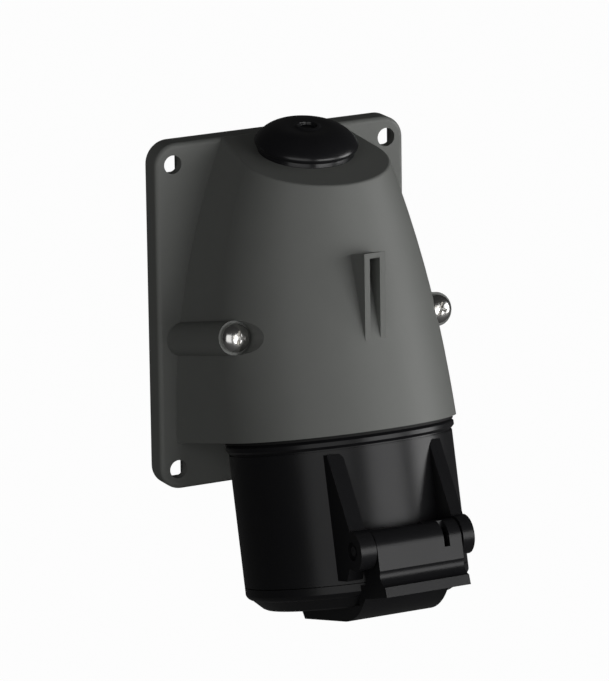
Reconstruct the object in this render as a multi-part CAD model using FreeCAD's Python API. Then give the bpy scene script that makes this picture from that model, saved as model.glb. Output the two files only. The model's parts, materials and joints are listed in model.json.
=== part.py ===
import FreeCAD, Part
import math
import os

V = FreeCAD.Vector

# Angled wall socket with a sprung lid, in millimetres.
# The origin is the centre of the four wall screw holes, on the wall plane.
# +Z is up, the wall lies at Y = 0 and the socket stands out towards -Y.

# Base plate
PLATE_MARGIN = 6.8
PLATE_HEIGHT = 116.8
PLATE_DEPTH = 7.6
PLATE_WEB = 3.2
PLATE_WALL = 3.0
PLATE_CORNER_R = 7.5
PLATE_EDGE_R = 1.5
HOLE_EDGE_X = 6.3
HOLE_EDGE_Z = 6.9
HOLE_R = 3.1
POCKET_ROOM = 1.1
POCKET_WALL = 1.9
PLATE_RIBS = 3
PLATE_RIB_THICK = 1.8

# The collar axis leans out from the vertical. Its frame has its origin at the
# centre of the housing rim, +Z up the axis and -Y to the front.
TILT_DEG = 13.7
RIM_CLEAR = 1.3
RIM_DROP = 32.8

# Housing cover
RIM_STAND = 1.9
COVER_WALL = 2.8
COVER_FLOOR = 3.0
FLANK_ARC_R = 220.0
FLANK_START = 11.0
FRONT_LEAN = 0.12
SIDE_DRAFT = 0.025
TOP_FALL_DEG = 8.8
TOP_EDGE_R = 0.8
DOME_SECTIONS = 5

# Label hood on the front of the cover
HOOD_WIDTH = 7.4
HOOD_LEG = 1.9
HOOD_BAR = 1.7
HOOD_TOP = 56.5
HOOD_LENGTH = 30.5
HOOD_PROUD = 9.98

# Screws that hold the cover on the plate
SCREW_EDGE = 8.6
SCREW_HEIGHT = 34.1
SCREW_SEAT = 7.4
SCREW_R = 2.5
SCREW_PLAY = 0.25
SCREW_HEAD_R = 4.75
SCREW_HEAD_HEIGHT = 3.6
SCREW_HEAD_SIDE = 1.1
SCREW_HEAD_FLAT_R = 2.7
SCREW_HEAD_BOW = 0.5
SCREW_CROSS_WIDTH = 1.3
SCREW_CROSS_LENGTH = 5.0
SCREW_CROSS_DEPTH = 1.8
BOSS_ROOM = 0.85
BOSS_WALL = 2.0
INSERT_WALL = 1.1
INSERT_LENGTH = 5.4
INSERT_BOSS_WALL = 2.4

# Seal between plate and cover
GASKET_WIDTH = 1.8
GASKET_DEPTH = 1.6

# Cable entry grommet in the top face
GROMMET_FORWARD = 18.8
GROMMET_HOLE_R = 12.5
GROMMET_SEAT = 3.4
GROMMET_FOOT = 2.0
GROMMET_BRIM_OUT = 1.2
GROMMET_BRIM = 1.2
GROMMET_CROWN_R = 5.6
GROMMET_HEIGHT = 8.4
GROMMET_BOW = 1.9
GROMMET_SKIN = 1.5
GROMMET_LIP = 1.6
NIPPLE_R = 4.4
NIPPLE_RIM = 1.4
NIPPLE_SOFT = 0.42
NIPPLE_HEIGHT = 0.6

# Collar
COLLAR_R = 36.6
COLLAR_LENGTH = 47.9
COLLAR_WALL = 4.0
SEAL_THICK = 1.0
SEAL_SHY = 1.2
BEAD_STAND = 0.8
BEAD_HEIGHT = 3.2
BEAD_SOFT = 0.96
BEAD_GROOVE = 0.6
SPIGOT_STEP = 2.6
SPIGOT_WALL = 2.8
SPIGOT_HEIGHT = 9.0
SNAP_REACH = 0.9
SNAP_HEIGHT = 2.0
SNAP_SLOT = 3.0
SNAP_SLOT_PAIRS = 2
FIT_GAP = 0.1
PARTITION_TOP = -0.6
PARTITION_THICK = 3.2
KEYWAY_WIDTH = 6.0
KEYWAY_DEPTH = 1.8
KEYWAY_LENGTH = 34.0

# Hinge on the front of the collar
HINGE_STAND = 6.3
HINGE_RISE = 11.1
RIB_INNER_X = 15.6
RIB_LEFT_THICK = 5.5
RIB_RIGHT_THICK = 4.1
RIB_TOP_DROP = 6.0
RIB_TOP_SINK = 4.0
RIB_MEET = 0.3
RIB_FOOT_RISE = 1.3
RIB_ROOT = 0.5
BARREL_R = 6.4
PIN_R = 1.6
PIN_SINK = 1.0
PIN_SHY = 0.4
PIN_RECESS_R = 3.0
RUNNING_GAP = 0.08

# Contact carrier, with a round room for the plug's shroud about it
PLUG_ROOM = 7.0
CARRIER_SHY = 6.9
CARRIER_FLANGE = 3.0
CARRIER_FLANGE_PLAY = 0.6
CARRIER_CHAMFER = 1.0
CONTACT_EDGE = 9.1
CONTACT_COUNT = 5
EARTH_HOUR = 7
ENTRY_DEPTH = 2.2
ENTRY_FLARE = 0.9
CONTACT_GAP = 0.15
LINE_PIN_R = 3.0
EARTH_PIN_R = 4.0
SLEEVE_WALL = 1.3
SLEEVE_SHY = 3.0
TERMINAL_R = 5.2
TERMINAL_HEIGHT = 15.0
TERMINAL_WIRE_R = 2.4
TERMINAL_WIRE_DEPTH = 9.0
TERMINAL_SCREW_R = 2.0
TERMINAL_SCREW_BITE = 3.8
TERMINAL_SCREW_HEAD_R = 2.9
TERMINAL_SCREW_HEAD = 2.0
CARRIER_SCREWS = 3
CARRIER_SCREW_TURN_DEG = 30.0
CARRIER_SCREW_R = 1.5
CARRIER_SCREW_HEAD_R = 2.4
CARRIER_SCREW_HEAD = 1.8
CARRIER_SCREW_BITE = 2.6

# Lid
LID_GAP = 0.25
LID_RIM = 2.4
LID_ROUND = 1.8
LID_ROUND_BOW = 0.36
LID_TAPER = 5.6
LID_FLAT_SOFT = 0.5
LID_DROP = 8.1
LID_SKIN = 2.2
LID_CORNER = 2.0
LID_SEAL_EDGE = 1.4
LID_SEAL_WIDTH = 3.0
LID_SEAL_THICK = 1.8
LID_SEAL_PROUD = 0.1
BAND_DROP = 13.1
BAND_REAR = -14.0
BAND_FRONT = 18.8
BAND_SLOPE = 3.0
BAND_ROOT = 0.6
BELLY_SHY = 1.0
BELLY_FALL = 5.3

# Hinge arm of the lid
ARM_SIDE_GAP = 0.5
ARM_ROLL_R = 5.9
ARM_ROLL_END_DEG = 140.0
ARM_SKIN = 2.2
ARM_CHEEK = 3.0
ARM_CLEAR = 1.0
ARM_ROOT = 5.6
ARM_BRIDGE = 0.6
ARM_FLAT = 7.1
ARM_COVE_BOW = 1.4
LIP_STAND = 8.7
LIP_SLOPE = 0.5
LIP_FALL = 12.3
LIP_THICK = 3.2
ARM_SLOT_X = 9.8
ARM_SLOT_WIDTH = 2.0
ARM_SLOT_FALL = 2.6
WINDOW_X = -0.4
WINDOW_WIDTH = 8.6
WINDOW_FRONT = 1.8
WINDOW_FOOT = 1.0
LUG_SHY = 4.2
LUG_THICK = 3.0
LUG_WIDTH = 10.0
LUG_HEIGHT = 3.4
LUG_ROOT = 0.5

# Lid spring
SPRING_WIRE_R = 0.6
SPRING_WIRE_SIDES = 8
SPRING_TURNS = 3
SPRING_PITCH = 1.5
SPRING_GAP = 0.2
SPRING_LEG = 8.0

# Plate and cover, worked out from the sizes above
RIM_R = COLLAR_R + RIM_STAND
RIM_FORWARD = RIM_R + RIM_CLEAR
PLATE_WIDTH = 2 * (RIM_R + PLATE_MARGIN)
PLATE_TOP = PLATE_HEIGHT / 2
HOLE_SPACING_X = PLATE_WIDTH - 2 * HOLE_EDGE_X
HOLE_SPACING_Z = PLATE_HEIGHT - 2 * HOLE_EDGE_Z
POCKET_HALF = HOLE_R + POCKET_ROOM
HOOD_STAND = RIM_R - FRONT_LEAN * HOOD_TOP + HOOD_PROUD
HOOD_FOOT = HOOD_TOP - HOOD_LENGTH
SCREW_X = PLATE_WIDTH / 2 - SCREW_EDGE
SCREW_HOLE_R = SCREW_R + SCREW_PLAY
BOSS_R = SCREW_HEAD_R + BOSS_ROOM
INSERT_R = SCREW_R + INSERT_WALL
GROMMET_FOOT_R = GROMMET_HOLE_R + GROMMET_SEAT
GROMMET_BRIM_R = GROMMET_FOOT_R + GROMMET_BRIM_OUT

# Collar and hinge, worked out
MOUTH_R = COLLAR_R - COLLAR_WALL
BEAD_R = COLLAR_R + BEAD_STAND
SPIGOT_R = COLLAR_R - SPIGOT_STEP
SPIGOT_BORE_R = SPIGOT_R - SPIGOT_WALL
HINGE_OUT = COLLAR_R + HINGE_STAND
HINGE_DROP = COLLAR_LENGTH - HINGE_RISE
BORE_GAP_R = PIN_R + RUNNING_GAP

# Contact carrier, worked out
CARRIER_R = MOUTH_R - PLUG_ROOM
CARRIER_FLANGE_R = SPIGOT_BORE_R - CARRIER_FLANGE_PLAY
CARRIER_FRONT = CARRIER_SHY - COLLAR_LENGTH
SLEEVE_FRONT = CARRIER_FRONT + SLEEVE_SHY
CARRIER_TOP = PARTITION_TOP + CARRIER_FLANGE
CONTACT_CIRCLE_R = CARRIER_R - CONTACT_EDGE

# Lid, worked out
LID_TOP = -(COLLAR_LENGTH + LID_GAP)
LID_FLAT = -(COLLAR_LENGTH + LID_DROP)
LID_SEAL_R = COLLAR_R - LID_SEAL_EDGE
ARM_HALF = RIB_INNER_X - ARM_SIDE_GAP
ARM_FLAT_DROP = HINGE_DROP + ARM_FLAT

# Placement of the collar's frame, and reaches that carry a cut right through
TILT = math.radians(TILT_DEG)
TOP_FALL = math.radians(TOP_FALL_DEG)
COLLAR_FRAME = FreeCAD.Placement(
    V(0, -(PLATE_DEPTH + RIM_FORWARD), -RIM_DROP),
    FreeCAD.Rotation(V(1, 0, 0), -TILT_DEG),
)
DOME_SPARE = 4.0
DOME_REACH = (PLATE_TOP + RIM_DROP) / math.cos(TILT) + RIM_FORWARD * math.sin(TILT) + DOME_SPARE
BACK_REACH = (RIM_FORWARD + PLATE_DEPTH) / math.cos(TILT) + DOME_REACH * math.tan(TILT)
SMALLEST_R = 0.5
SPREAD = 200.0


def plate_face_out(height):
    """How far behind the collar axis the plate's front face lies, at a height on the axis."""
    return (height * math.sin(TILT) - RIM_FORWARD) / math.cos(TILT)


def in_frame(shape):
    """Moves a shape from the collar's frame to the part's frame."""
    placed = shape.copy()
    placed.Placement = COLLAR_FRAME.multiply(placed.Placement)
    return placed


def block(x0, x1, y0, y1, z0, z1):
    return Part.makeBox(x1 - x0, y1 - y0, z1 - z0, V(x0, y0, z0))


def rod(radius, start, end):
    return Part.makeCylinder(radius, (end - start).Length, start, end - start)


def turned(outline):
    """Turns a closed outline of (radius, height) points about the Z axis."""
    points = [V(r, 0, z) for r, z in outline]
    face = Part.Face(Part.makePolygon(points + points[:1]))
    return face.revolve(V(0, 0, 0), V(0, 0, 1), 360)


def sheet(outline, x0, x1):
    """Extrudes a closed outline of (outward, height) points along X, in the collar's frame."""
    points = [V(x0, -out, height) for out, height in outline]
    face = Part.Face(Part.makePolygon(points + points[:1]))
    return face.extrude(V(x1 - x0, 0, 0))


def bowed(start, end, bow, square_to):
    """An arc from start to end that bows aside in the plane square to a direction."""
    aside = (end - start).cross(square_to).normalize()
    return Part.Arc(start, (start + end) * 0.5 + aside * bow, end).toShape()


def around_z(edges):
    """Turns a closed outline of edges in the XZ plane about the Z axis."""
    face = Part.Face(Part.Wire(Part.__sortEdges__(edges)))
    return face.revolve(V(0, 0, 0), V(0, 0, 1), 360)


def one_solid(shape):
    """The single solid inside a Boolean result."""
    return shape.removeSplitter().Solids[0]


# Base plate


def plate_outline(inset, y0, y1):
    """The plate's block with rounded corners, drawn in by an inset."""
    half_x = PLATE_WIDTH / 2 - inset
    half_z = PLATE_HEIGHT / 2 - inset
    body = block(-half_x, half_x, y0, y1, -half_z, half_z)
    corners = [e for e in body.Edges if abs(e.Vertexes[0].Y - e.Vertexes[-1].Y) > 1e-6]
    return body.makeFillet(max(PLATE_CORNER_R - inset, SMALLEST_R), corners)


def front_edges(shape, y):
    return [e for e in shape.Edges if all(abs(v.Y - y) < 1e-6 for v in e.Vertexes)]


def hole_places():
    return [
        (side * HOLE_SPACING_X / 2, level * HOLE_SPACING_Z / 2)
        for side in (-1, 1)
        for level in (-1, 1)
    ]


def screw_axis_point(side, out):
    """A point on the axis of a cover screw, in the collar's frame."""
    return V(side * SCREW_X, -out, SCREW_HEIGHT)


def insert_ends():
    """Where the threaded insert starts and ends along the screw axis."""
    front = plate_face_out(SCREW_HEIGHT) - INSERT_R * math.tan(TILT)
    return front - INSERT_LENGTH, front


def thread_insert(side):
    low, high = insert_ends()
    sleeve = rod(INSERT_R, screw_axis_point(side, low), screw_axis_point(side, high))
    bore = rod(SCREW_R, screw_axis_point(side, low - 1), screw_axis_point(side, high + 1))
    return in_frame(sleeve.cut(bore))


def base_plate(gasket):
    shell = plate_outline(0, -PLATE_DEPTH, 0)
    shell = shell.makeFillet(PLATE_EDGE_R, front_edges(shell, -PLATE_DEPTH))
    hollow = plate_outline(PLATE_WALL, -PLATE_DEPTH + PLATE_WEB, 1)
    keep = []
    pocket_out = POCKET_HALF + POCKET_WALL
    for x, z in hole_places():
        wide = (x - pocket_out, x + pocket_out)
        keep.append(block(*wide, -PLATE_DEPTH, 1, z - pocket_out, z + pocket_out))
    for i in range(PLATE_RIBS):
        z = PLATE_HEIGHT * ((i + 1) / (PLATE_RIBS + 1) - 0.5)
        half = PLATE_RIB_THICK / 2
        keep.append(block(-PLATE_WIDTH / 2, PLATE_WIDTH / 2, -PLATE_DEPTH, 1, z - half, z + half))
    low, high = insert_ends()
    for side in (-1, 1):
        post = rod(
            INSERT_R + INSERT_BOSS_WALL,
            screw_axis_point(side, low - PLATE_DEPTH),
            screw_axis_point(side, high),
        )
        keep.append(in_frame(post))
    for piece in keep:
        hollow = hollow.cut(piece)
    plate = shell.cut(hollow)
    for x, z in hole_places():
        half = POCKET_HALF
        plate = plate.cut(block(x - half, x + half, -PLATE_DEPTH + PLATE_WEB, 1, z - half, z + half))
        plate = plate.cut(rod(HOLE_R, V(x, -PLATE_DEPTH - 1, z), V(x, 1, z)))
    for side in (-1, 1):
        seat = rod(INSERT_R, screw_axis_point(side, low), screw_axis_point(side, 0))
        plate = plate.cut(in_frame(seat))
    return one_solid(plate.cut(gasket))


# Housing cover


def dome_section(height, inset):
    """One section of the cover across the collar axis: a round front with straight sides."""
    rise = max(0.0, height - FLANK_START)
    half = RIM_R - FLANK_ARC_R + math.sqrt(FLANK_ARC_R ** 2 - rise ** 2) - inset
    front = RIM_R - FRONT_LEAN * height - inset
    centre = front - half
    spread = half + SIDE_DRAFT * (BACK_REACH + centre)
    left_back = V(-spread, BACK_REACH, height)
    left = V(-half, -centre, height)
    right = V(half, -centre, height)
    right_back = V(spread, BACK_REACH, height)
    nose = Part.Arc(left, V(0, -front, height), right).toShape()
    return Part.Wire([
        Part.makeLine(left_back, left),
        nose,
        Part.makeLine(right, right_back),
        Part.makeLine(right_back, left_back),
    ])


def dome_body(inset, start):
    """The closed form of the cover, from a start height, before it is trimmed."""
    step = (DOME_REACH - start) / DOME_SECTIONS
    sections = [dome_section(start + step * i, inset) for i in range(DOME_SECTIONS + 1)]
    return in_frame(Part.makeLoft(sections, True, False))


def cover_window(inset, back):
    """The room in front of a plane at the plate and under the falling top face."""
    top = PLATE_TOP - inset / math.cos(TOP_FALL)
    rise = (back + PLATE_DEPTH) * math.tan(TOP_FALL)
    fall = (SPREAD - PLATE_DEPTH) * math.tan(TOP_FALL)
    outline = [(back, top + rise), (-SPREAD, top - fall), (-SPREAD, -SPREAD), (back, -SPREAD)]
    points = [V(-SPREAD / 2, y, z) for y, z in outline]
    return Part.Face(Part.makePolygon(points + points[:1])).extrude(V(SPREAD, 0, 0))


def boss_rod(side, radius, back, front):
    return in_frame(rod(radius, screw_axis_point(side, back), screw_axis_point(side, front)))


def label_hood():
    """A frame of two legs and a top bar that stands out from the front of the cover."""
    foot_out = HOOD_STAND - (HOOD_TOP - HOOD_FOOT) * math.tan(TILT)
    root = RIM_R - FRONT_LEAN * HOOD_TOP - COVER_WALL
    outline = [(HOOD_STAND, HOOD_TOP), (foot_out, HOOD_FOOT), (root, HOOD_FOOT), (root, HOOD_TOP)]
    frame = sheet(outline, -HOOD_WIDTH / 2, HOOD_WIDTH / 2)
    half = HOOD_WIDTH / 2 - HOOD_LEG
    gap = block(-half, half, -HOOD_STAND - 1, 0, 0, HOOD_TOP - HOOD_BAR)
    return in_frame(frame.cut(gap))


def top_frame():
    """Placement on the top face, at the grommet, with Z square to the face."""
    y = -(PLATE_DEPTH + GROMMET_FORWARD)
    z = PLATE_TOP - GROMMET_FORWARD * math.tan(TOP_FALL)
    return FreeCAD.Placement(V(0, y, z), FreeCAD.Rotation(V(1, 0, 0), TOP_FALL_DEG))


def on_top(shape):
    placed = shape.copy()
    placed.Placement = top_frame().multiply(placed.Placement)
    return placed


def cover_outside():
    body = dome_body(0, 0).common(cover_window(0, -PLATE_DEPTH))
    body = one_solid(body)
    normal = V(0, -math.sin(TOP_FALL), math.cos(TOP_FALL))
    top = [f for f in body.Faces if f.normalAt(0, 0).dot(normal) > 0.9999][0]
    edges = [e for e in top.Edges if min(v.Y for v in e.Vertexes) < -PLATE_DEPTH - 1]
    return body.makeFillet(TOP_EDGE_R, edges)


def cover_inside(shrink):
    """The hollow of the cover with its screw bosses left standing."""
    inset = COVER_WALL - shrink
    hollow = dome_body(inset, COVER_FLOOR - shrink).common(cover_window(inset, 0))
    for side in (-1, 1):
        hollow = hollow.cut(boss_rod(side, BOSS_R + BOSS_WALL - shrink, -BACK_REACH, RIM_R))
    return hollow


def housing_cover():
    outside = cover_outside()
    inside = cover_inside(0)
    cover = outside
    for side in (-1, 1):
        boss = boss_rod(side, BOSS_R, -BACK_REACH, SCREW_SEAT)
        cover = cover.fuse(boss.common(cover_window(0, -PLATE_DEPTH)))
    cover = cover.fuse(label_hood()).cut(inside)
    for side in (-1, 1):
        cover = cover.cut(boss_rod(side, BOSS_R, SCREW_SEAT, RIM_R))
        cover = cover.cut(boss_rod(side, SCREW_HOLE_R, -BACK_REACH, SCREW_SEAT + 1))
    cover = cover.cut(on_top(rod(GROMMET_HOLE_R, V(0, 0, -GROMMET_HEIGHT), V(0, 0, GROMMET_HEIGHT))))
    opening = rod(SPIGOT_R + FIT_GAP, V(0, 0, -1), V(0, 0, COVER_FLOOR + 1))
    return one_solid(cover.cut(in_frame(opening)))


def base_gasket():
    """A seal cord in a groove of the plate, under the inner edge of the cover."""
    band = cover_inside(GASKET_WIDTH).cut(cover_inside(0))
    slab = block(-SPREAD, SPREAD, -PLATE_DEPTH, -PLATE_DEPTH + GASKET_DEPTH, -SPREAD, SPREAD)
    return one_solid(band.common(slab))


def cover_screw(side):
    """A pan head screw with a cross recess, first turned about Z and then laid in its hole."""
    tip = insert_ends()[0] + SCREW_R * math.tan(TILT)
    side_top = SCREW_SEAT + SCREW_HEAD_SIDE
    crown = SCREW_SEAT + SCREW_HEAD_HEIGHT
    outline = Part.makePolygon([
        V(SCREW_HEAD_FLAT_R, 0, crown),
        V(0, 0, crown),
        V(0, 0, tip),
        V(SCREW_R, 0, tip),
        V(SCREW_R, 0, SCREW_SEAT),
        V(SCREW_HEAD_R, 0, SCREW_SEAT),
        V(SCREW_HEAD_R, 0, side_top),
    ])
    round_edge = bowed(
        V(SCREW_HEAD_R, 0, side_top), V(SCREW_HEAD_FLAT_R, 0, crown), SCREW_HEAD_BOW, V(0, -1, 0)
    )
    screw = around_z(outline.Edges + [round_edge])
    wide = SCREW_CROSS_LENGTH / 2
    thin = SCREW_CROSS_WIDTH / 2
    floor = crown - SCREW_CROSS_DEPTH
    for half_x, half_y in ((wide, thin), (thin, wide)):
        screw = screw.cut(block(-half_x, half_x, -half_y, half_y, floor, crown + 1))
    screw.rotate(V(0, 0, 0), V(1, 0, 0), 90)
    screw.translate(V(side * SCREW_X, 0, SCREW_HEIGHT))
    return in_frame(one_solid(screw))


def cable_grommet():
    """A closed rubber entry: a foot on the cover, a domed cap with a thin centre and a neck below."""
    neck = GROMMET_HOLE_R - GROMMET_SKIN
    under = -COVER_WALL
    brim_top = GROMMET_FOOT + GROMMET_BRIM
    inner_top = GROMMET_HEIGHT - GROMMET_SKIN
    rim_top = GROMMET_HEIGHT + NIPPLE_HEIGHT
    crown = V(GROMMET_CROWN_R, 0, GROMMET_HEIGHT)
    brim = V(GROMMET_BRIM_R, 0, brim_top)
    outline = Part.makePolygon([
        brim,
        V(GROMMET_BRIM_R, 0, GROMMET_FOOT + GROMMET_BRIM / 2),
        V(GROMMET_FOOT_R, 0, GROMMET_FOOT),
        V(GROMMET_FOOT_R, 0, 0),
        V(GROMMET_HOLE_R, 0, 0),
        V(GROMMET_HOLE_R, 0, under),
        V(GROMMET_HOLE_R + GROMMET_LIP, 0, under),
        V(GROMMET_HOLE_R, 0, under - GROMMET_LIP),
        V(neck, 0, under - GROMMET_LIP),
        V(neck, 0, GROMMET_FOOT),
        V(NIPPLE_R, 0, inner_top),
        V(0, 0, inner_top),
        V(0, 0, GROMMET_HEIGHT - NIPPLE_HEIGHT),
        V(NIPPLE_R - NIPPLE_RIM, 0, GROMMET_HEIGHT - NIPPLE_HEIGHT),
        V(NIPPLE_R - NIPPLE_RIM + NIPPLE_SOFT, 0, rim_top),
        V(NIPPLE_R - NIPPLE_SOFT, 0, rim_top),
        V(NIPPLE_R, 0, GROMMET_HEIGHT),
        crown,
    ])
    return on_top(around_z(outline.Edges + [bowed(crown, brim, GROMMET_BOW, V(0, 1, 0))]))


# Collar


def collar_tube():
    bead_top = -SEAL_THICK
    bead_foot = bead_top - BEAD_HEIGHT
    snap_foot = COVER_FLOOR + FIT_GAP
    partition_foot = PARTITION_TOP - PARTITION_THICK
    bore = CARRIER_R + FIT_GAP
    return turned([
        (SPIGOT_BORE_R, SPIGOT_HEIGHT),
        (SPIGOT_R, SPIGOT_HEIGHT),
        (SPIGOT_R + SNAP_REACH, snap_foot + SNAP_HEIGHT),
        (SPIGOT_R + SNAP_REACH, snap_foot),
        (SPIGOT_R, snap_foot),
        (SPIGOT_R, bead_top),
        (BEAD_R - BEAD_SOFT, bead_top),
        (BEAD_R, bead_top - BEAD_SOFT),
        (BEAD_R, bead_foot + BEAD_SOFT),
        (BEAD_R - BEAD_SOFT, bead_foot),
        (COLLAR_R - BEAD_GROOVE, bead_foot),
        (COLLAR_R - BEAD_GROOVE, bead_foot - BEAD_GROOVE),
        (COLLAR_R, bead_foot - BEAD_GROOVE),
        (COLLAR_R, -COLLAR_LENGTH),
        (MOUTH_R, -COLLAR_LENGTH),
        (MOUTH_R, partition_foot),
        (bore, partition_foot),
        (bore, PARTITION_TOP),
        (SPIGOT_BORE_R, PARTITION_TOP),
    ])


def hinge_rib(side, thick):
    """A triangular rib with the hinge barrel at its outer corner."""
    x0 = RIB_INNER_X if side > 0 else -RIB_INNER_X - thick
    foot = RIB_FOOT_RISE - COLLAR_LENGTH
    outline = [
        (0, -RIB_TOP_DROP),
        (COLLAR_R - RIB_TOP_SINK, -RIB_TOP_DROP),
        (HINGE_OUT - RIB_MEET, BARREL_R - HINGE_DROP),
        (HINGE_OUT, -HINGE_DROP),
        (HINGE_OUT - BARREL_R, foot),
        (0, foot),
    ]
    barrel = rod(BARREL_R, V(x0, -HINGE_OUT, -HINGE_DROP), V(x0 + thick, -HINGE_OUT, -HINGE_DROP))
    return sheet(outline, x0, x0 + thick).fuse(barrel)


def hinge_ends():
    """The X places of the outer faces of the left and the right hinge barrel."""
    return -RIB_INNER_X - RIB_LEFT_THICK, RIB_INNER_X + RIB_RIGHT_THICK


def collar():
    left, right = hinge_ends()
    core = Part.makeCylinder(COLLAR_R - RIB_ROOT, SPREAD, V(0, 0, -SPREAD))
    ribs = hinge_rib(-1, RIB_LEFT_THICK).fuse(hinge_rib(1, RIB_RIGHT_THICK)).cut(core)
    body = collar_tube().fuse(ribs)
    axis_y = -HINGE_OUT
    axis_z = -HINGE_DROP
    body = body.cut(rod(PIN_R, V(left - 1, axis_y, axis_z), V(right + 1, axis_y, axis_z)))
    body = body.cut(rod(PIN_RECESS_R, V(left - 1, axis_y, axis_z), V(left + PIN_SINK, axis_y, axis_z)))
    body = body.cut(rod(PIN_RECESS_R, V(right - PIN_SINK, axis_y, axis_z), V(right + 1, axis_y, axis_z)))
    half = KEYWAY_WIDTH / 2
    body = body.cut(block(
        -half, half, 0, MOUTH_R + KEYWAY_DEPTH, -COLLAR_LENGTH - 1, -COLLAR_LENGTH + KEYWAY_LENGTH
    ).cut(Part.makeCylinder(MOUTH_R - 1, SPREAD, V(0, 0, -SPREAD))))
    for i in range(SNAP_SLOT_PAIRS):
        slot = block(-SPREAD, SPREAD, -SNAP_SLOT / 2, SNAP_SLOT / 2, COVER_FLOOR, SPIGOT_HEIGHT + 1)
        slot.rotate(V(0, 0, 0), V(0, 0, 1), 180 * (i + 0.5) / SNAP_SLOT_PAIRS)
        body = body.cut(slot)
    for place in carrier_screw_places():
        body = body.cut(rod(CARRIER_SCREW_R, place + V(0, 0, -CARRIER_SCREW_BITE), place))
    return in_frame(one_solid(body))


def collar_seal():
    return in_frame(turned([
        (SPIGOT_R, -SEAL_THICK),
        (RIM_R - SEAL_SHY, -SEAL_THICK),
        (RIM_R - SEAL_SHY, 0),
        (SPIGOT_R, 0),
    ]))


def hinge_pin():
    left, right = hinge_ends()
    start = V(left + PIN_SHY, -HINGE_OUT, -HINGE_DROP)
    end = V(right - PIN_SHY, -HINGE_OUT, -HINGE_DROP)
    return in_frame(rod(PIN_R, start, end))


# Contacts


def contact_places():
    """Angles of the contacts, the earth contact first, seen from the mouth."""
    first = math.radians(90 + 30 * (EARTH_HOUR - 6))
    return [first + 2 * math.pi * i / CONTACT_COUNT for i in range(CONTACT_COUNT)]


def contact_centre(index):
    angle = contact_places()[index]
    return V(CONTACT_CIRCLE_R * math.cos(angle), CONTACT_CIRCLE_R * math.sin(angle), 0)


def contact_pin_r(index):
    return EARTH_PIN_R if index == 0 else LINE_PIN_R


def carrier_screw_places():
    radius = (CARRIER_R + SPIGOT_BORE_R) / 2
    places = []
    for i in range(CARRIER_SCREWS):
        angle = math.radians(CARRIER_SCREW_TURN_DEG) + 2 * math.pi * i / CARRIER_SCREWS
        places.append(V(radius * math.cos(angle), radius * math.sin(angle), PARTITION_TOP))
    return places


def sleeve_outer_r(index):
    return contact_pin_r(index) + SLEEVE_WALL


def terminal_outer_r(index):
    return max(TERMINAL_R, sleeve_outer_r(index) + CONTACT_GAP)


def contact(index):
    """A turned sleeve for the plug's pin, with the wire terminal at its back."""
    sleeve_r = sleeve_outer_r(index)
    terminal_r = terminal_outer_r(index)
    top = CARRIER_TOP + TERMINAL_HEIGHT
    level = top - TERMINAL_WIRE_DEPTH / 2
    body = turned([
        (0, SLEEVE_FRONT),
        (sleeve_r, SLEEVE_FRONT),
        (sleeve_r, CARRIER_TOP),
        (terminal_r, CARRIER_TOP),
        (terminal_r, top),
        (0, top),
    ])
    pin_end = CARRIER_TOP - SLEEVE_WALL
    body = body.cut(rod(contact_pin_r(index), V(0, 0, SLEEVE_FRONT - 1), V(0, 0, pin_end)))
    body = body.cut(rod(TERMINAL_WIRE_R, V(0, 0, top - TERMINAL_WIRE_DEPTH), V(0, 0, top + 1)))
    body = body.cut(rod(TERMINAL_SCREW_R, V(0, 0, level), V(terminal_r + 1, 0, level)))
    return in_frame(outward_at(one_solid(body), index))


def outward_at(shape, index):
    """Turns a shape so that its X axis points out from the middle, and sets it at a contact."""
    placed = shape.copy()
    placed.rotate(V(0, 0, 0), V(0, 0, 1), math.degrees(contact_places()[index]))
    placed.translate(contact_centre(index))
    return placed


def terminal_screw(index):
    level = CARRIER_TOP + TERMINAL_HEIGHT - TERMINAL_WIRE_DEPTH / 2
    seat = V(terminal_outer_r(index), 0, level)
    shank = rod(TERMINAL_SCREW_R, seat - V(TERMINAL_SCREW_BITE, 0, 0), seat)
    head = rod(TERMINAL_SCREW_HEAD_R, seat, seat + V(TERMINAL_SCREW_HEAD, 0, 0))
    return in_frame(outward_at(one_solid(shank.fuse(head)), index))


def contact_hole(index):
    """The way through the carrier: a funnel that guides the pin, then the sleeve's seat."""
    seat_r = sleeve_outer_r(index) + CONTACT_GAP
    narrow_r = contact_pin_r(index) + CONTACT_GAP
    seat_foot = CARRIER_FRONT + ENTRY_DEPTH
    way = turned([
        (0, CARRIER_FRONT),
        (narrow_r + ENTRY_FLARE, CARRIER_FRONT),
        (narrow_r, seat_foot),
        (seat_r, seat_foot),
        (seat_r, CARRIER_TOP),
        (0, CARRIER_TOP),
    ])
    way.translate(contact_centre(index))
    return way


def contact_carrier():
    body = turned([
        (0, CARRIER_FRONT),
        (CARRIER_R - CARRIER_CHAMFER, CARRIER_FRONT),
        (CARRIER_R, CARRIER_FRONT + CARRIER_CHAMFER),
        (CARRIER_R, PARTITION_TOP),
        (CARRIER_FLANGE_R, PARTITION_TOP),
        (CARRIER_FLANGE_R, CARRIER_TOP),
        (0, CARRIER_TOP),
    ])
    for index in range(CONTACT_COUNT):
        body = body.cut(contact_hole(index))
    for place in carrier_screw_places():
        body = body.cut(rod(CARRIER_SCREW_R, place, place + V(0, 0, CARRIER_FLANGE + 1)))
    return in_frame(one_solid(body))


def carrier_screws():
    screws = []
    for place in carrier_screw_places():
        seat = place + V(0, 0, CARRIER_FLANGE)
        shank = rod(CARRIER_SCREW_R, place + V(0, 0, -CARRIER_SCREW_BITE), seat)
        head = rod(CARRIER_SCREW_HEAD_R, seat, seat + V(0, 0, CARRIER_SCREW_HEAD))
        screws.append(in_frame(one_solid(shank.fuse(head))))
    return Part.makeCompound(screws)


# Lid


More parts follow.
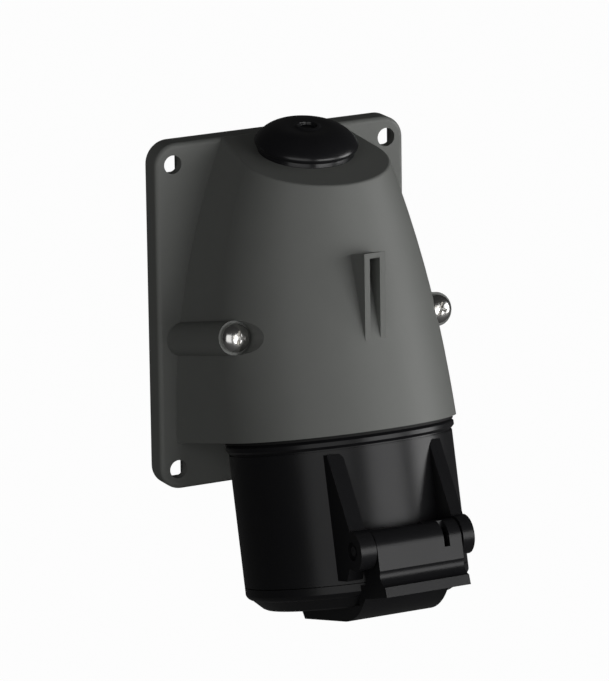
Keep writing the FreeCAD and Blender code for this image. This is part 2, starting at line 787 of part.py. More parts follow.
def lid_disc():
    """The turned part of the lid: a rim, a round shoulder and a flat underside."""
    rim_foot = LID_TOP - LID_RIM
    wall_in = LID_SEAL_R - LID_SEAL_WIDTH - LID_SKIN
    floor = LID_FLAT + LID_SKIN
    flat_r = COLLAR_R - LID_TAPER
    shoulder = bowed(
        V(COLLAR_R, 0, rim_foot),
        V(COLLAR_R - LID_ROUND, 0, rim_foot - LID_ROUND),
        LID_ROUND_BOW,
        V(0, 1, 0),
    )
    outline = Part.makePolygon([
        V(COLLAR_R - LID_ROUND, 0, rim_foot - LID_ROUND),
        V(flat_r + LID_FLAT_SOFT, 0, LID_FLAT + LID_FLAT_SOFT),
        V(flat_r - LID_FLAT_SOFT, 0, LID_FLAT),
        V(0, 0, LID_FLAT),
        V(0, 0, floor),
        V(wall_in - LID_CORNER, 0, floor),
        V(wall_in, 0, floor + LID_CORNER),
        V(wall_in, 0, LID_TOP),
        V(COLLAR_R, 0, LID_TOP),
        V(COLLAR_R, 0, rim_foot),
    ])
    return around_z(outline.Edges + [shoulder])


def beside_hinge(radius, degrees):
    """A point round the hinge axis, its angle counted from the front over the top."""
    angle = math.radians(degrees)
    return V(0, -HINGE_OUT - radius * math.cos(angle), -HINGE_DROP + radius * math.sin(angle))


def roll_arc(radius):
    """The side view of the rolled top of the arm, from its free end to its front."""
    half_way = beside_hinge(radius, ARM_ROLL_END_DEG / 2)
    return Part.Arc(
        beside_hinge(radius, ARM_ROLL_END_DEG), half_way, beside_hinge(radius, 0)
    ).toShape()


def arm_skin():
    """The arm's curved front with the lip, and the band that runs on under the lid."""
    sideways = V(1, 0, 0)
    band = -(COLLAR_LENGTH + BAND_DROP)
    roll_in = ARM_ROLL_R - ARM_SKIN
    bridge = LID_TOP - ARM_BRIDGE
    root = -(COLLAR_R - ARM_ROOT)
    top = LID_FLAT + BAND_ROOT
    face_top = beside_hinge(ARM_ROLL_R, 0)
    face_foot = V(0, face_top.y, -ARM_FLAT_DROP)
    lip_top = V(0, LIP_SLOPE - HINGE_OUT - LIP_STAND, -(HINGE_DROP + LIP_FALL))
    lip_low = lip_top - V(0, LIP_SLOPE, LIP_THICK)
    belly_start = V(0, BELLY_SHY - COLLAR_R, -(COLLAR_LENGTH + BELLY_FALL))
    belly_end = V(0, -BAND_FRONT, band)
    belly_rise = math.atan2(belly_start.z - belly_end.z, belly_end.y - belly_start.y)
    level_bow = (belly_end - belly_start).Length / 2 * math.tan(belly_rise / 2)
    underside = Part.makePolygon([
        belly_end,
        V(0, -BAND_REAR - BAND_SLOPE, band),
        V(0, -BAND_REAR, top),
        V(0, root, top),
        V(0, root, bridge),
        V(0, beside_hinge(roll_in, 0).y, bridge),
        beside_hinge(roll_in, 0),
    ])
    roll_end = beside_hinge(ARM_ROLL_R, ARM_ROLL_END_DEG)
    edges = [
        roll_arc(ARM_ROLL_R),
        Part.makeLine(face_top, face_foot),
        bowed(face_foot, lip_top, ARM_COVE_BOW, -sideways),
        Part.makeLine(lip_top, lip_low),
        Part.makeLine(lip_low, belly_start),
        bowed(belly_start, belly_end, level_bow, sideways),
        roll_arc(roll_in),
        Part.makeLine(beside_hinge(roll_in, ARM_ROLL_END_DEG), roll_end),
    ]
    face = Part.Face(Part.Wire(Part.__sortEdges__(edges + underside.Edges)))
    face.translate(V(-ARM_HALF, 0, 0))
    return face.extrude(V(2 * ARM_HALF, 0, 0))


def arm_cheek(side):
    """A side wall of the arm with the eye that turns on the hinge pin."""
    x0 = ARM_HALF - ARM_CHEEK if side > 0 else -ARM_HALF
    x1 = x0 + ARM_CHEEK
    face_out = HINGE_OUT + ARM_ROLL_R - ARM_SKIN / 2
    foot = LID_TOP - ARM_BRIDGE - ARM_SKIN / 2
    back = COLLAR_R + ARM_CLEAR
    eye = rod(ARM_ROLL_R, V(x0, -HINGE_OUT, -HINGE_DROP), V(x1, -HINGE_OUT, -HINGE_DROP))
    reach = ARM_ROLL_R * math.sqrt(0.5)
    wall = sheet([
        (face_out, -HINGE_DROP),
        (face_out, foot),
        (back, foot),
        (back, -ARM_FLAT_DROP - ARM_CLEAR),
        (HINGE_OUT - reach, -HINGE_DROP - reach),
    ], x0, x1)
    return eye.fuse(wall)


def lid():
    body = lid_disc().fuse(arm_skin())
    for side in (-1, 1):
        body = body.fuse(arm_cheek(side))
    on_axis = V(0, -HINGE_OUT, -HINGE_DROP)
    body = body.cut(rod(BORE_GAP_R, on_axis - V(SPREAD, 0, 0), on_axis + V(SPREAD, 0, 0)))
    mid_y = -HINGE_OUT - WINDOW_FRONT
    slot = block(
        ARM_SLOT_X - ARM_SLOT_WIDTH / 2, ARM_SLOT_X + ARM_SLOT_WIDTH / 2,
        -SPREAD, mid_y, -(HINGE_DROP + ARM_SLOT_FALL), 0,
    )
    window = block(
        WINDOW_X - WINDOW_WIDTH / 2, WINDOW_X + WINDOW_WIDTH / 2,
        mid_y, 0, -HINGE_DROP + WINDOW_FOOT, 0,
    )
    lug_front = LUG_SHY - MOUTH_R
    lug = block(
        -LUG_WIDTH / 2, LUG_WIDTH / 2, lug_front, lug_front + LUG_THICK,
        LID_FLAT + LID_SKIN - LUG_ROOT, LID_TOP + LUG_HEIGHT,
    )
    body = body.cut(slot).cut(window).cut(seal_ring(LID_TOP + 1))
    return in_frame(one_solid(body.fuse(lug)))


def seal_ring(top):
    """The room of the lid's seal, from the floor of its groove to a given height."""
    foot = LID_TOP - LID_SEAL_THICK
    inner = LID_SEAL_R - LID_SEAL_WIDTH
    return turned([(inner, foot), (LID_SEAL_R, foot), (LID_SEAL_R, top), (inner, top)])


def lid_seal():
    return in_frame(seal_ring(LID_TOP + LID_SEAL_PROUD))


def wire_section(centre):
    """The spring wire's many-sided outline at a point where the wire runs along Y."""
    corners = []
    for i in range(SPRING_WIRE_SIDES + 1):
        angle = 2 * math.pi * i / SPRING_WIRE_SIDES
        corners.append(centre + V(SPRING_WIRE_R * math.cos(angle), 0, SPRING_WIRE_R * math.sin(angle)))
    return Part.Face(Part.makePolygon(corners))


def lid_spring():
    """A torsion spring on the hinge pin, with one leg on the collar and one inside the arm."""
    coil_r = ARM_ROLL_R - ARM_SKIN - SPRING_WIRE_R - SPRING_GAP
    half_pitch = SPRING_PITCH / 2
    place = V(WINDOW_X - SPRING_TURNS * half_pitch, -HINGE_OUT, -HINGE_DROP + coil_r)
    section = wire_section(place)
    spring = section.extrude(V(0, HINGE_OUT - COLLAR_R - SPRING_GAP, 0))
    for half_turn in range(2 * SPRING_TURNS):
        side = 1 if half_turn % 2 else -1
        to_middle = V(half_pitch / 2, 0, side * coil_r)
        axis = V(coil_r, 0, -side * half_pitch / 2)
        spring = spring.fuse(section.revolve(place + to_middle, axis, 180))
        section.rotate(place + to_middle, axis, 180)
        place = place + to_middle * 2
    middle = place - V(0, 0, coil_r)
    spring = spring.fuse(section.revolve(middle, V(1, 0, 0), 90))
    section.rotate(middle, V(1, 0, 0), 90)
    spring = spring.fuse(section.extrude(V(0, 0, -SPRING_LEG)))
    return in_frame(one_solid(spring))


def export(name, shape):
    shape.exportStep("parts/" + name + ".step")
    print(name, "solids", len(shape.Solids), "valid", shape.isValid(), "mm3", round(shape.Volume, 1))


def main():
    os.makedirs("parts", exist_ok=True)
    gasket = base_gasket()
    export("base_gasket", gasket)
    export("base_plate", base_plate(gasket))
    export("housing_cover", housing_cover())
    export("cable_grommet", cable_grommet())
    for side, word in ((-1, "left"), (1, "right")):
        export("cover_screw_" + word, cover_screw(side))
        export("thread_insert_" + word, thread_insert(side))
    export("collar", collar())
    export("collar_seal", collar_seal())
    export("hinge_pin", hinge_pin())
    export("contact_carrier", contact_carrier())
    names = ["contact_earth", "contact_line_1", "contact_line_2", "contact_line_3", "contact_neutral"]
    for index, name in enumerate(names):
        export(name, contact(index))
    export("terminal_screws", Part.makeCompound([terminal_screw(i) for i in range(CONTACT_COUNT)]))
    export("carrier_screws", carrier_screws())
    export("lid", lid())
    export("lid_seal", lid_seal())
    export("lid_spring", lid_spring())


main()
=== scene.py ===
# %% [markdown]
# # An angled wall socket in the studio
#
# The socket hangs on a wall: a grey plate and a grey domed cover carry a black
# collar that leans out, closed by a sprung lid. Its solids come in ready made and
# stay where they are. This script gives them their finishes. It also makes the rubber
# cap again with soft edges and the two cover screws with their cross recess, because
# both are too fine for the solids. Then it sets up the camera, the floor and the lamps.

# %% Load the fixed solids
import json
import math

import bmesh
import bpy
from mathutils import Matrix, Vector


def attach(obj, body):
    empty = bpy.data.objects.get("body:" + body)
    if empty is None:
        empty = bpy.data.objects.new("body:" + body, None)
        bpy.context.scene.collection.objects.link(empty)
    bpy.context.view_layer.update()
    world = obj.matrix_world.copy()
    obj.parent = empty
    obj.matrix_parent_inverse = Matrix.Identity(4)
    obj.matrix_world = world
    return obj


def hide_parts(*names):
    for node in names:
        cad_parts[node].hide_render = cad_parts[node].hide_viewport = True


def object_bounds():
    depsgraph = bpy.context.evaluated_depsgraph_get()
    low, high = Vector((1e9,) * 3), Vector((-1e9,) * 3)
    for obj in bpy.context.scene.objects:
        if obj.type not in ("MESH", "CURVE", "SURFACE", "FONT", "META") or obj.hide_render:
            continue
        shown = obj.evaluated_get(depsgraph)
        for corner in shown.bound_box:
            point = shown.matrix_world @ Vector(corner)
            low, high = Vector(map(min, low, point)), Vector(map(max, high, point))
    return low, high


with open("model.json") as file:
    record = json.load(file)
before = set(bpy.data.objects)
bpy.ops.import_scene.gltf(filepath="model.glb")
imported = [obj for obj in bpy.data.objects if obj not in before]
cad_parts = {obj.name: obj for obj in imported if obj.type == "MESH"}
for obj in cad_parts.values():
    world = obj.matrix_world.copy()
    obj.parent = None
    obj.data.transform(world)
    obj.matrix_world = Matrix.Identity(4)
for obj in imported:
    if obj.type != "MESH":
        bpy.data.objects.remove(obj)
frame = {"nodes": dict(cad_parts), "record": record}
cad_low, cad_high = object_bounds()
print("solids", len(frame["nodes"]), "box", [round(v, 4) for v in cad_high - cad_low])

# %% [markdown]
# ## Sums of sockets
#
# A finish is a tree of nodes, and most of its nodes are plain sums. Written one by
# one they hide the idea, so a small class wraps a socket and lets Python's own
# operators add the Math nodes. Each operator has its reflected form too, so that a
# plain number may stand on the left, as in 0.5 + noise.


# %% Sockets that can be added and multiplied
class Wire:
    """An output socket of a tree; sums and products of wires add Math nodes."""

    def __init__(self, tree, socket):
        self.tree = tree
        self.socket = socket

    def maths(self, operation, first, second):
        """A Math node on two wires, or on a wire and a number."""
        settings = {"operation": operation}
        return self.tree.node("ShaderNodeMath", settings, {0: first, 1: second})

    def __add__(self, other):
        return self.maths("ADD", self, other)

    def __radd__(self, other):
        return self.maths("ADD", other, self)

    def __mul__(self, other):
        return self.maths("MULTIPLY", self, other)

    def __rmul__(self, other):
        return self.maths("MULTIPLY", other, self)


print("wires can be added and multiplied")

# %% [markdown]
# ## One way to add any other node
#
# Nodes that aren't sums all come from one method. It takes the node's type, then its
# settings, because some settings change which sockets the node has, and then what
# goes into its sockets: a wire is linked and anything else is written there. The same
# class builds the materials, the floor and the world.


# %% A tree that grows node by node
class Tree:
    """A node tree that is built up one expression at a time."""

    def __init__(self, nodes):
        self.nodes = nodes
        self.nodes.nodes.clear()

    def node(self, kind, settings=None, inputs=None, output=0):
        """Adds a node and gives the wire that leaves one of its outputs."""
        made = self.nodes.nodes.new(kind)
        for name, value in (settings or {}).items():
            setattr(made, name, value)
        for name, value in (inputs or {}).items():
            if isinstance(value, Wire):
                self.nodes.links.new(value.socket, made.inputs[name])
            else:
                made.inputs[name].default_value = value
        return Wire(self, made.outputs[output]) if made.outputs else None


print("trees can grow")

# %% [markdown]
# ## What every finish needs
#
# All the finishes here are made of the same few things: a noise, a colour between two
# colours, and a bump. They get a method each. The patterns lie in the object's own
# space, in metres, so they need no unwrapping, keep their real size, and move with
# the lid when it swings.


# %% A material with noise, colour and bump
class Finish(Tree):
    """A material whose patterns are laid out in the object's own space."""

    def __init__(self, name):
        self.material = bpy.data.materials.new(name)
        self.material.use_nodes = True
        super().__init__(self.material.node_tree)
        self.place = self.node("ShaderNodeTexCoord", output="Object")

    def noise(self, grain, detail=2.0):
        """Noise from 0 to 1 whose lumps are about one grain long, in metres."""
        sizes = {"Vector": self.place, "Scale": 1.0 / grain, "Detail": detail}
        return self.node("ShaderNodeTexNoise", {}, sizes)

    def blend(self, factor, first, second):
        """A colour between two colours."""
        ends = {0: factor, 6: first, 7: second}
        return self.node("ShaderNodeMix", {"data_type": "RGBA"}, ends, output=2)

    def bump(self, height, depth, strength=1.0, under=None):
        """A normal from a height wire of 0 to 1 that stands for a depth in metres."""
        values = {"Height": height, "Distance": depth, "Strength": strength}
        if under is not None:
            values["Normal"] = under
        return self.node("ShaderNodeBump", {}, values)

    def close(self, shader):
        """Ends the tree with a shader."""
        self.node("ShaderNodeOutputMaterial", {}, {"Surface": shader})
        return self.material

    def surface(self, values):
        """Ends the tree with the shader that all the solids use."""
        return self.close(self.node("ShaderNodeBsdfPrincipled", {}, values))


print("finishes have noise, blend and bump")

# %% [markdown]
# ## Moulded plastic
#
# Housings like this come out of a spark-eroded steel mould. The mould leaves an even
# grain of about a fifth of a millimetre, which breaks up reflections and makes the
# plastic satin. Thick places also cool unevenly, so a large flat face is never quite
# flat. Both are bumps here: a fine one and a slow one. The pigment is not quite even
# either, so two close tones are blended by a slow noise. An image could carry the
# grain too, but a noise has no seams and needs no unwrapping.

# %% Grey and black housing plastic
MOULD_GRAIN = 0.00022
MOULD_GRAIN_DEPTH = 0.000010
MOULD_GRAIN_STRENGTH = 0.6
MOULD_WAVE = 0.018
MOULD_WAVE_DEPTH = 0.00003
PIGMENT_CLOUD = 0.009
CLOUD_SHARE = 0.6
GLOSS_SPREAD = 0.06


def moulded(name, dark, light, roughness, specular):
    """Grained moulded plastic in two close tones."""
    finish = Finish(name)
    slow = finish.noise(MOULD_WAVE)
    cloud = finish.noise(PIGMENT_CLOUD, 3.0)
    grain = finish.noise(MOULD_GRAIN, 1.0)
    wave = finish.bump(slow, MOULD_WAVE_DEPTH)
    tone = cloud * CLOUD_SHARE + grain * (1 - CLOUD_SHARE)
    return finish.surface({
        "Base Color": finish.blend(tone, dark, light),
        "Roughness": roughness - GLOSS_SPREAD / 2 + GLOSS_SPREAD * cloud,
        "Specular IOR Level": specular,
        "Normal": finish.bump(grain, MOULD_GRAIN_DEPTH, MOULD_GRAIN_STRENGTH, wave),
    })


housing_grey = moulded(
    "housing_grey", (0.164, 0.169, 0.160, 1), (0.186, 0.191, 0.181, 1),
    roughness=0.50, specular=0.35,
)
collar_black = moulded(
    "collar_black", (0.0085, 0.0085, 0.0095, 1), (0.0120, 0.0120, 0.0130, 1),
    roughness=0.30, specular=0.28,
)
print("plastics", housing_grey.name, collar_black.name)

# %% [markdown]
# ## Rubber
#
# The cable entry is a soft black rubber cap and the seals are softer still. Moulded
# rubber is smoother than the plastic, and a thin bloom of wax dulls it in patches.
# A noise with several octaves makes the patches, and it changes the roughness more
# than the colour, because the bloom is seen in the highlights.

# %% Cap and seal rubber
RUBBER_GRAIN = 0.0004
RUBBER_GRAIN_DEPTH = 0.000012
RUBBER_GRAIN_STRENGTH = 0.5
RUBBER_BLOOM = 0.006
BLOOM_LIGHTENS = 1.4
BLOOM_ROUGHENS = 0.08


def rubber(name, colour, roughness, specular):
    """Smooth rubber with a faint bloom that dulls it in patches."""
    finish = Finish(name)
    bloom = finish.noise(RUBBER_BLOOM, 3.0)
    grain = finish.noise(RUBBER_GRAIN)
    dusty = tuple(BLOOM_LIGHTENS * channel for channel in colour[:3]) + (1,)
    return finish.surface({
        "Base Color": finish.blend(bloom, colour, dusty),
        "Roughness": roughness + BLOOM_ROUGHENS * bloom,
        "Specular IOR Level": specular,
        "Normal": finish.bump(grain, RUBBER_GRAIN_DEPTH, RUBBER_GRAIN_STRENGTH),
    })


cap_rubber = rubber(
    "cap_rubber", (0.0075, 0.0075, 0.0085, 1), roughness=0.20, specular=0.5
)
soft_seal = rubber(
    "soft_seal", (0.006, 0.006, 0.006, 1), roughness=0.6, specular=0.3
)
print("rubbers", cap_rubber.name, soft_seal.name)

# %% [markdown]
# ## Metal
#
# The cover screws are nickel plated, the hinge pin and the spring are dark steel and
# the contacts are turned brass. A plated surface mirrors what is round it, so it only
# looks right with small scratches that smear the mirror: a fine noise drives both the
# roughness and a bump of a few thousandths of a millimetre. A slow noise adds the
# faint tarnish that handling leaves.

# %% Screw plating, spring steel and brass
SCRATCH = 0.0002
SCRATCH_DEPTH = 0.000003
SCRATCH_STRENGTH = 0.5
SCRATCH_ROUGHENS = 0.10
TARNISH_CLOUD = 0.003
TARNISH = 0.82


def metal(name, colour, roughness):
    """Bare or plated metal with fine marks of handling."""
    finish = Finish(name)
    marks = finish.noise(SCRATCH, 4.0)
    cloud = finish.noise(TARNISH_CLOUD)
    dull = tuple(TARNISH * channel for channel in colour[:3]) + (1,)
    return finish.surface({
        "Base Color": finish.blend(cloud, colour, dull),
        "Metallic": 1.0,
        "Roughness": roughness + SCRATCH_ROUGHENS * marks,
        "Normal": finish.bump(marks, SCRATCH_DEPTH, SCRATCH_STRENGTH),
    })


screw_plating = metal("screw_plating", (0.80, 0.79, 0.77, 1), roughness=0.16)
spring_steel = metal("spring_steel", (0.16, 0.16, 0.165, 1), roughness=0.30)
turned_brass = metal("turned_brass", (0.80, 0.60, 0.28, 1), roughness=0.22)
print("metals", screw_plating.name, spring_steel.name, turned_brass.name)

# %% [markdown]
# ## The solids get their finishes
#
# The record of the part says which material each solid is made of. A list of names
# could be written here instead, but reading the record keeps the two in step: a solid
# that is added later gets its finish by itself.

# %% Give the solids their finishes
finishes = {
    "grey_plastic": housing_grey,
    "black_plastic": collar_black,
    "black_rubber": cap_rubber,
    "seal_rubber": soft_seal,
    "bright_screw": screw_plating,
    "dark_steel": spring_steel,
    "brass": turned_brass,
}
for part in frame["record"]["subparts"]:
    solid = frame["nodes"][part["node"]]
    solid.data.materials.clear()
    solid.data.materials.append(finishes[part["material_slot"]])

# %% [markdown]
# ## From faces to objects
#
# The next pieces are made with bmesh, which builds a shape from points, edges and
# faces without any clicks. Two small helpers do what comes after each shape: one
# turns the faces into a mesh, and one puts a mesh, a lamp or a camera in the scene.

# %% From faces to meshes and objects
MM = 0.001


def into_mesh(shape, name):
    """Turns the faces of a bmesh into a mesh, and frees the bmesh."""
    mesh = bpy.data.meshes.new(name)
    shape.to_mesh(mesh)
    shape.free()
    return mesh


def stand(name, data):
    """Puts a new object that holds some data in the scene."""
    thing = bpy.data.objects.new(name, data)
    bpy.context.scene.collection.objects.link(thing)
    return thing


print("one millimetre is", MM)

# %% [markdown]
# ## Turned shapes
#
# The cap and the screws are both round. A lathe turns such a shape from half of its
# section, and bmesh can spin an outline about an axis in the same way. The Screw
# modifier would do it too, but the spin leaves a plain mesh that can be cut at once.

# %% Spin an outline round
TURN_STEPS = 96
SAME_POINT = 1e-7


def turned_mesh(name, outline):
    """A solid of revolution about Z from (radius, height) points in millimetres."""
    shape = bmesh.new()
    points = [shape.verts.new((r * MM, 0, z * MM)) for r, z in outline]
    edges = [shape.edges.new(pair) for pair in zip(points, points[1:])]
    bmesh.ops.spin(
        shape, geom=points + edges, axis=(0, 0, 1), cent=(0, 0, 0),
        dvec=(0, 0, 0), angle=math.tau, steps=TURN_STEPS, use_merge=True,
    )
    bmesh.ops.remove_doubles(shape, verts=shape.verts, dist=SAME_POINT)
    bmesh.ops.recalc_face_normals(shape, faces=shape.faces)
    return into_mesh(shape, name)


print("a turn has", TURN_STEPS, "steps")

# %% [markdown]
# ## Cable entry cap
#
# The cable comes in through a rubber cap on the top face. It is moulded in one piece:
# a foot that lies on the cover, a soft rounded brim that hangs over the foot, a low
# dome, and a small ring in the middle that is cut open for the cable. The solid has
# the right sizes but crisp edges, and rubber has none. A Bevel modifier would round
# all its edges alike. So the cap is turned again from an outline in which each corner
# has a radius of its own, and is cut there with a short curve.

# %% Round the corners of an outline
CORNER_STEPS = 5


def softened(outline):
    """The outline with each corner that has a radius turned into a short curve."""
    points = []
    for i, (r, z, radius) in enumerate(outline):
        here = Vector((r, z))
        if radius == 0:
            points.append(here)
            continue
        before = (Vector(outline[i - 1][:2]) - here).normalized() * radius
        after = (Vector(outline[i + 1][:2]) - here).normalized() * radius
        for step in range(CORNER_STEPS + 1):
            t = step / CORNER_STEPS
            points.append(here + before * (1 - t) ** 2 + after * t ** 2)
    return [tuple(point) for point in points]


def dome_points(start, end, bulge, steps):
    """Points on a shallow curve from start to end that bulges outwards."""
    first, last = Vector(start), Vector(end)
    aside = Vector((last.y - first.y, first.x - last.x)).normalized() * bulge
    curve = []
    for i in range(1, steps):
        t = i / steps
        curve.append(tuple(first.lerp(last, t) + aside * 4 * t * (1 - t)) + (0,))
    return curve


print("a round corner has", CORNER_STEPS + 1, "points")

# %% [markdown]
# ### The cap's section
#
# Half of the section is drawn as points of radius, height and corner radius, in
# millimetres above the top face. It starts on the axis under the dome, goes down the
# hollow inside, round the neck with the bead that snaps in below the hole's edge, out
# under the foot, up round the brim, and over the dome to the ring.

# %% Outline of the cap
cap_inside = [(0.0, 6.9, 0), (4.4, 6.9, 0), (11.0, 2.0, 0), (11.0, -4.3, 0)]
cap_neck = [(12.4, -4.3, 0), (13.9, -2.9, 0.4), (12.4, -2.8, 0), (12.4, 0.0, 0)]
cap_foot = [(15.9, 0.0, 0.2), (15.5, 1.6, 0.3)]
cap_brim = [(16.6, 1.9, 0.3), (17.1, 2.9, 0.8)]
cap_dome = dome_points((16.9, 3.4), (5.6, 8.4), bulge=1.9, steps=12)
cap_ring = [
    (5.2, 8.45, 0.4), (4.3, 8.5, 0.3), (3.9, 9.0, 0.3), (3.1, 8.95, 0.3),
    (2.9, 7.9, 0.25), (0.0, 7.8, 0),
]
cap_outline = softened(
    cap_inside + cap_neck + cap_foot + cap_brim + cap_dome + cap_ring
)
print("points of the cap's outline", len(cap_outline))

# %% [markdown]
# ### The cap on the cover
#
# The top face falls to the front by a few degrees, and the cap stands square on it.
# It takes the place of the plain solid and stays with the housing. Smooth shading
# hides the steps of the turn, except where two faces meet at more than 50 degrees.

# %% Cable entry cap
TOP_FALL = math.radians(8.8)
TOP_CENTRE = Vector((0, -26.4, 55.49)) * MM
RUBBER_EDGE = math.radians(50)

cap_mesh = turned_mesh("entry_cap", cap_outline)
cap_mesh.shade_smooth()
cap_mesh.set_sharp_from_angle(angle=RUBBER_EDGE)
cap_mesh.materials.append(cap_rubber)
cap = stand("entry_cap", cap_mesh)
cap.matrix_world = Matrix.Translation(TOP_CENTRE) @ Matrix.Rotation(TOP_FALL, 4, "X")
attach(cap, "housing")
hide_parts("cable_grommet")

# %% [markdown]
# ## Cover screws
#
# Two plated pan head screws hold the cover. Their heads are one smooth dome, and the
# cross recess is the only dark place on them. A plain turned head would do from far
# away, but the photograph looks straight at one. The head starts as a turned blank:
# a shank, a short upright side with a small chamfer, and a dome that is fuller at
# its shoulder than a part of a ball is, so its outline is a stretched ellipse.

# %% Outline of the screw, in millimetres from the seat
SEAT_OUT = 7.4
TIP_OUT = -38.3
SHANK_R = 2.5
HEAD_R = 4.75
HEAD_CHAMFER = 0.15
HEAD_SIDE = 0.7
HEAD_TOP = 3.6
DOME_STEPS = 12
DOME_FULLNESS = 0.85


def screw_outline():
    """Half of the screw's section, from its tip round the head to the crown."""
    shank = TIP_OUT - SEAT_OUT
    points = [(0, shank), (SHANK_R, shank), (SHANK_R, 0)]
    points += [(HEAD_R - HEAD_CHAMFER, 0), (HEAD_R, HEAD_CHAMFER)]
    for i in range(DOME_STEPS):
        angle = math.pi / 2 * i / DOME_STEPS
        rise = HEAD_SIDE + (HEAD_TOP - HEAD_SIDE) * math.sin(angle)
        points.append((HEAD_R * math.cos(angle) ** DOME_FULLNESS, rise))
    return points + [(0, HEAD_TOP)]


print("points of the screw's outline", len(screw_outline()))

# %% [markdown]
# ### The punch for the recess
#
# A punch presses the cross into the head, and its four wings fall towards the middle,
# so that the driver centres itself. The punch here is a cross at three heights that
# gets shorter and thinner towards its foot. It stands out above the dome, because a
# cut that ends on the surface itself would leave stray faces.

# %% Punch with four falling wings
WING_HALF = 2.3
WING_THICK = 0.62
WING_FOOT = 0.55
FOOT_TAPER = 0.9
RECESS_DEPTH = 2.0
WING_DROP = 0.35
PUNCH_RISE = 1.0
PUNCH_FLARE = 1.3


def cross_ring(long, thick):
    """The twelve corners of a cross, round it."""
    return (
        (long, -thick), (long, thick), (thick, thick), (thick, long),
        (-thick, long), (-thick, thick), (-long, thick), (-long, -thick),
        (-thick, -thick), (-thick, -long), (thick, -long), (thick, -thick),
    )


def cross_mesh(name):
    """The punch that makes the recess: a cross that narrows towards its foot."""
    levels = (
        (HEAD_TOP + PUNCH_RISE, WING_HALF * PUNCH_FLARE, WING_THICK),
        (HEAD_TOP - WING_DROP, WING_HALF, WING_THICK),
        (HEAD_TOP - RECESS_DEPTH, WING_FOOT, WING_FOOT * FOOT_TAPER),
    )
    shape = bmesh.new()
    rings = []
    for height, long, thick in levels:
        corners = [(x * MM, y * MM, height * MM) for x, y in cross_ring(long, thick)]
        rings.append([shape.verts.new(corner) for corner in corners])
    for upper, lower in zip(rings, rings[1:]):
        for i in range(len(upper)):
            j = (i + 1) % len(upper)
            shape.faces.new((upper[i], upper[j], lower[j], lower[i]))
    shape.faces.new(rings[0])
    shape.faces.new(rings[-1])
    bmesh.ops.recalc_face_normals(shape, faces=shape.faces)
    return into_mesh(shape, name)


print("the recess is", RECESS_DEPTH, "mm deep")

# %% [markdown]
# ### Cutting the recess
#
# A Boolean modifier takes the punch out of the blank. The modifier is only a recipe,
# so the result is read from the evaluated scene as a mesh of its own, and the blank
# and the punch are thrown away. Both screws share that one mesh.

# %% Cut the screw
METAL_EDGE = math.radians(32)


def cut_screw():
    """The turned screw with its recess, as one mesh."""
    blank = stand("screw_blank", turned_mesh("screw_blank", screw_outline()))
    punch = stand("cross_punch", cross_mesh("cross_punch"))
    cut = blank.modifiers.new("recess", "BOOLEAN")
    cut.operation = "DIFFERENCE"
    cut.solver = "EXACT"
    cut.object = punch
    view = bpy.context.evaluated_depsgraph_get()
    mesh = bpy.data.meshes.new_from_object(blank.evaluated_get(view))
    for thing in (blank, punch):
        bpy.data.objects.remove(thing)
    mesh.shade_smooth()
    mesh.set_sharp_from_angle(angle=METAL_EDGE)
    return mesh


screw_shape = cut_screw()
screw_shape.materials.clear()
screw_shape.materials.append(screw_plating)
print("screw faces", len(screw_shape.polygons))

# %% [markdown]
# ### The screws in their seats
#
# The screws sit in two bosses beside the dome, and they lean as the collar does, so
# their places are simplest in the collar's own frame: so far to the side, out and up
# from the middle of its rim. Nobody tightens two screws to the same angle, and each
# cross is turned as the photograph shows it.

# %% Cover screws
TILT = math.radians(13.7)
RIM_CENTRE = Vector((0, -47.4, -32.8)) * MM
SCREW_SIDE = 36.7
SCREW_HEIGHT = 34.1
CROSS_TURNS = {"left": -12, "right": 68}

lean = Matrix.Rotation(-TILT, 4, "X")
face_out = Matrix.Rotation(math.radians(90), 4, "X")
for side, word in ((-1, "left"), (1, "right")):
    screw = stand("screw_" + word, screw_shape)
    seat = Vector((side * SCREW_SIDE, -SEAT_OUT, SCREW_HEIGHT)) * MM
    spin = face_out @ Matrix.Rotation(math.radians(CROSS_TURNS[word]), 4, "Z")
    on_rim = Matrix.Translation(RIM_CENTRE) @ lean @ Matrix.Translation(seat)
    screw.matrix_world = on_rim @ spin
    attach(screw, "housing")
    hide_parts("cover_screw_" + word)

# %% [markdown]
# ## Camera
#
# The photograph is taken from the left and a little above with a very long lens, so
# the edges stay almost parallel. A camera could be aimed by eye, but small errors
# show at once when two pictures are laid side by side. So its place and its right and
# up directions were found by fitting the three wall holes that the photograph shows
# and the plate's edges.

# %% Camera
PHOTO_HIGH_PX = 681
LENS_PX = 6426.1
SENSOR = 36.0
CAMERA_PLACE = Vector((-0.90648, -1.84257, 0.54229))
CAMERA_RIGHT = Vector((0.89328, -0.44929, -0.01379))
CAMERA_UP = Vector((0.12955, 0.22795, 0.96501))

camera_data = bpy.data.cameras.new("camera")
camera_data.lens = LENS_PX * SENSOR / PHOTO_HIGH_PX
camera_data.sensor_width = SENSOR
camera = stand("camera", camera_data)
camera_back = CAMERA_RIGHT.cross(CAMERA_UP).normalized()
turn = Matrix((CAMERA_RIGHT, CAMERA_UP, camera_back)).transposed().to_4x4()
camera.matrix_world = Matrix.Translation(CAMERA_PLACE) @ turn
bpy.context.scene.camera = camera
print("lens mm", round(camera_data.lens, 1))

# %% [markdown]
# ## Floor
#
# The socket stands before plain white. More light would wash it out, so the white is
# made where only the camera looks: the floor glows at a strength of one for camera
# rays, and a small share of it stays ordinary paper, which holds the shadow. For the
# light that falls on the socket, the floor is plain paper. From below it is clear, so
# that the mouth and the lid can be looked at from there too.

# %% Floor
FLOOR_DROP = 0.16
FLOOR_REACH = 6.0
FLOOR_GLOW = 0.98
PAPER = (0.25, 0.25, 0.25, 1)
WHITE = (1, 1, 1, 1)

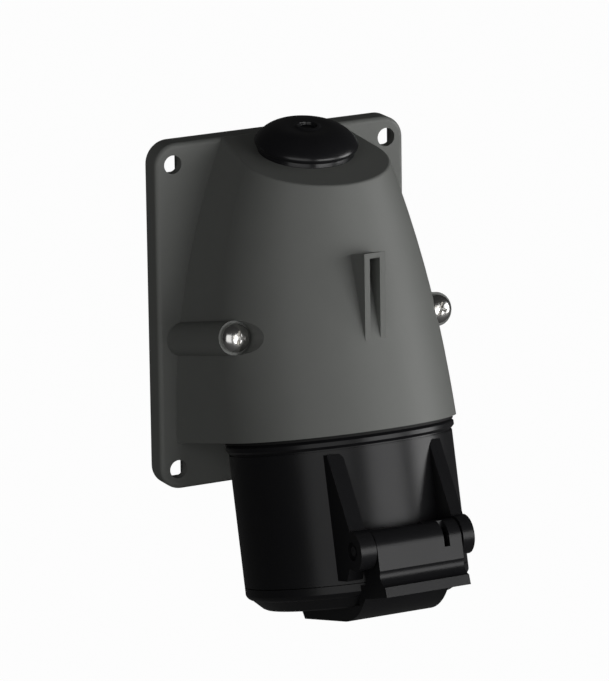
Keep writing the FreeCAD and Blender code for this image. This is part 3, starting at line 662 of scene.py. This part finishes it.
floor_finish = Finish("studio_floor")
paper = floor_finish.node("ShaderNodeBsdfDiffuse", {}, {"Color": PAPER})
glow = floor_finish.node("ShaderNodeEmission", {}, {"Color": WHITE, "Strength": 1.0})
clear = floor_finish.node("ShaderNodeBsdfTransparent", {}, {"Color": WHITE})
seen = floor_finish.node("ShaderNodeLightPath", output="Is Camera Ray")
below = floor_finish.node("ShaderNodeNewGeometry", output="Backfacing")
shares = {0: seen * FLOOR_GLOW, 1: paper, 2: glow}
pale = floor_finish.node("ShaderNodeMixShader", {}, shares)
sides = {0: below, 1: pale, 2: clear}
floor_finish.close(floor_finish.node("ShaderNodeMixShader", {}, sides))

shape = bmesh.new()
bmesh.ops.create_grid(shape, x_segments=1, y_segments=1, size=FLOOR_REACH)
floor_mesh = into_mesh(shape, "studio_floor")
floor_mesh.materials.append(floor_finish.material)
floor = stand("studio_floor", floor_mesh)
floor.location = (0, 0, cad_low.z - FLOOR_DROP)
print("floor at", round(floor.location.z, 3))

# %% [markdown]
# ## World
#
# A camera that looks past the floor sees the world, which is white for it and for rays
# that pass through something. For all other rays the world is a dim room. That holds
# for rays that glance off the plastic too, since the black collar is dark at its
# sides and would mirror the white there. A backdrop of card would work as well, but
# it would have to stand behind the socket from every side.

# %% World
ROOM_LIGHT = 0.03

world = bpy.data.worlds.new("studio_world")
bpy.context.scene.world = world
world.use_nodes = True
air = Tree(world.node_tree)
dim = {"Color": WHITE, "Strength": ROOM_LIGHT}
room = air.node("ShaderNodeBackground", {}, dim)
white = air.node("ShaderNodeBackground", {}, {"Color": WHITE, "Strength": 1.0})
looked_at = air.node("ShaderNodeLightPath", output="Is Camera Ray")
through = air.node("ShaderNodeLightPath", output="Is Transmission Ray")
shares = {0: looked_at + through, 1: room, 2: white}
backdrop = air.node("ShaderNodeMixShader", {}, shares)
air.node("ShaderNodeOutputWorld", {}, {"Surface": backdrop})
print("room light", ROOM_LIGHT)

# %% [markdown]
# ## Lamps
#
# Three soft square lamps stand in a half circle in front of the socket, all a little
# above its middle. The strongest two are to the right, where the photograph has its
# brightest flank, and the wide weak one on the left opens the shadows. They only
# graze the top, so the cap and the top face stay dark. Small lamps would give the
# same light, but the broad soft streaks on the collar come from their size.

# %% Lamps
LAMP_AWAY = 1.4
middle = (cad_low + cad_high) / 2


def lamp(name, azimuth, elevation, size, power):
    """A square soft lamp that looks at the socket from a direction in degrees."""
    data = bpy.data.lights.new(name, "AREA")
    data.size = size
    data.energy = power
    thing = stand(name, data)
    a = math.radians(azimuth)
    e = math.radians(elevation)
    level = math.cos(e)
    out = Vector((math.sin(a) * level, -math.cos(a) * level, math.sin(e)))
    thing.location = middle + out * LAMP_AWAY
    thing.rotation_euler = out.to_track_quat("Z", "Y").to_euler()
    print(name, [round(v, 2) for v in thing.location], power, "W")


lamp("front_lamp", azimuth=18, elevation=2, size=1.0, power=9.8)
lamp("right_lamp", azimuth=66, elevation=2, size=0.8, power=9.2)
lamp("left_lamp", azimuth=-42, elevation=8, size=1.3, power=5.4)

bpy.context.scene.view_settings.view_transform = "Standard"
